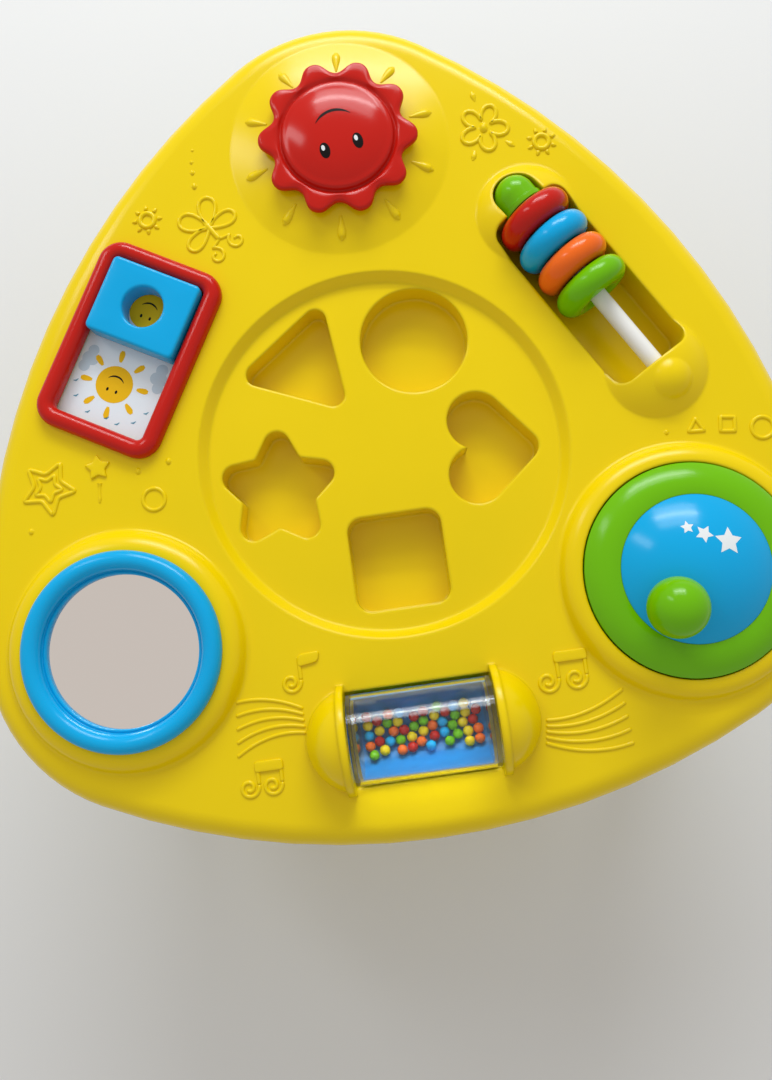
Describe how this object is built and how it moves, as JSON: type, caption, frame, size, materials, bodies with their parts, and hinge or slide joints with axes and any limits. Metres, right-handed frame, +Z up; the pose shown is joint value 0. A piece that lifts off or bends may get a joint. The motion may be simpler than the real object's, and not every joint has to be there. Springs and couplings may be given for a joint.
{
  "type": "musical activity table",
  "caption": "Round-cornered three-sided play table on legs with a dish of shape wells, a sun button, a picture slider, a mirror, a spinner, a ring rail and a bead drum.",
  "frame": {"origin": "on the floor, under the middle of the table's outline box", "axes": "+Z up, +Y towards the corner with the sun button, +X towards the right as seen from the roller's side"},
  "size_m": [0.5142, 0.5088, 0.31],
  "materials": {
    "yellow": "glossy moulded plastic, bright yellow",
    "red": "glossy moulded plastic, red",
    "blue": "glossy moulded plastic, sky blue",
    "green": "glossy moulded plastic, leaf green",
    "orange": "glossy moulded plastic, orange",
    "white": "glossy moulded plastic, white",
    "clear": "clear moulded plastic",
    "lining": "glossy plastic sheet, blue",
    "mirror": "plastic mirror",
    "card": "printed white card with a sun and clouds",
    "dark": "dark grey moulded plastic",
    "rubber": "soft dark rubber",
    "steel": "plain zinc-plated steel",
    "cell": "wrapped battery cell",
    "speaker": "dark speaker basket and cone",
    "board": "green circuit board",
    "contact": "plated contact"
  },
  "bodies": {
    "table": {"top_shell": "yellow", "bottom_cover": "yellow", "battery_door": "yellow", "leg_sun": "blue", "leg_mirror": "blue", "leg_spinner": "blue", "foot_sun": "rubber", "foot_mirror": "rubber", "foot_spinner": "rubber", "cover_screws": "steel", "door_screw": "steel", "batteries": "cell", "battery_contacts": "contact", "speaker": "speaker", "circuit_board": "board", "button_switch": "dark", "switch_housing": "dark", "sun_spring": "steel", "slider_frame": "red", "picture_card": "card", "mirror_ring": "blue", "mirror_disc": "mirror", "rail_rod": "white", "rail_head": "green"},
    "sun_button": {"sun_cap": "red", "sun_stem": "white"},
    "slider": {"slider_block": "blue"},
    "spinner": {"spinner_ring": "green", "spinner_dome": "blue", "spinner_knob": "green", "spinner_washer": "steel", "spinner_screw": "steel"},
    "ring_one": {"ring_red": "red"},
    "ring_two": {"ring_blue": "blue"},
    "ring_three": {"ring_orange": "orange"},
    "ring_four": {"ring_green": "green"},
    "drum": {"drum_shell": "clear", "drum_lining": "lining", "drum_end_left": "clear", "drum_end_right": "clear"},
    "beads": {"beads_red": "red", "beads_orange": "orange", "beads_yellow": "yellow", "beads_green": "green", "beads_blue": "blue"},
    "power": {"power_switch": "dark"}
  },
  "joints": [
    {"name": "sun_press", "type": "slide", "parent": "table", "child": "sun_button", "axis": [0, 0, -1], "range_m": [0, 0.003], "stiffness_N_per_m": 400, "springref_m": -0.004, "deforming": ["sun_spring"]},
    {"name": "block_slide", "type": "slide", "parent": "table", "child": "slider", "axis": [-0.5, -0.866, 0], "range_m": [0, 0.0512]},
    {"name": "spinner_turn", "type": "hinge", "parent": "table", "child": "spinner", "pos_m": [0.16628, -0.11865, 0.255], "axis": [0, 0, 1], "continuous": true},
    {"name": "ring_one_slide", "type": "slide", "parent": "table", "child": "ring_one", "axis": [0.5, -0.866, 0], "range_m": [0, 0.012]},
    {"name": "ring_two_slide", "type": "slide", "parent": "ring_one", "child": "ring_two", "axis": [0.5, -0.866, 0], "range_m": [0, 0.012]},
    {"name": "ring_three_slide", "type": "slide", "parent": "ring_two", "child": "ring_three", "axis": [0.5, -0.866, 0], "range_m": [0, 0.012]},
    {"name": "ring_four_slide", "type": "slide", "parent": "ring_three", "child": "ring_four", "axis": [0.5, -0.866, 0], "range_m": [0, 0.0145]},
    {"name": "roller_turn", "type": "hinge", "parent": "table", "child": "drum", "pos_m": [0, -0.18815, 0.259], "axis": [1, 0, 0], "continuous": true},
    {"name": "bead_roll", "type": "hinge", "parent": "table", "child": "beads", "pos_m": [0, -0.18815, 0.259], "axis": [1, 0, 0], "range_deg": [-25, 25]},
    {"name": "power_slide", "type": "slide", "parent": "table", "child": "power", "axis": [-0.866, -0.5, 0], "range_m": [0, 0.006]}
  ]
}
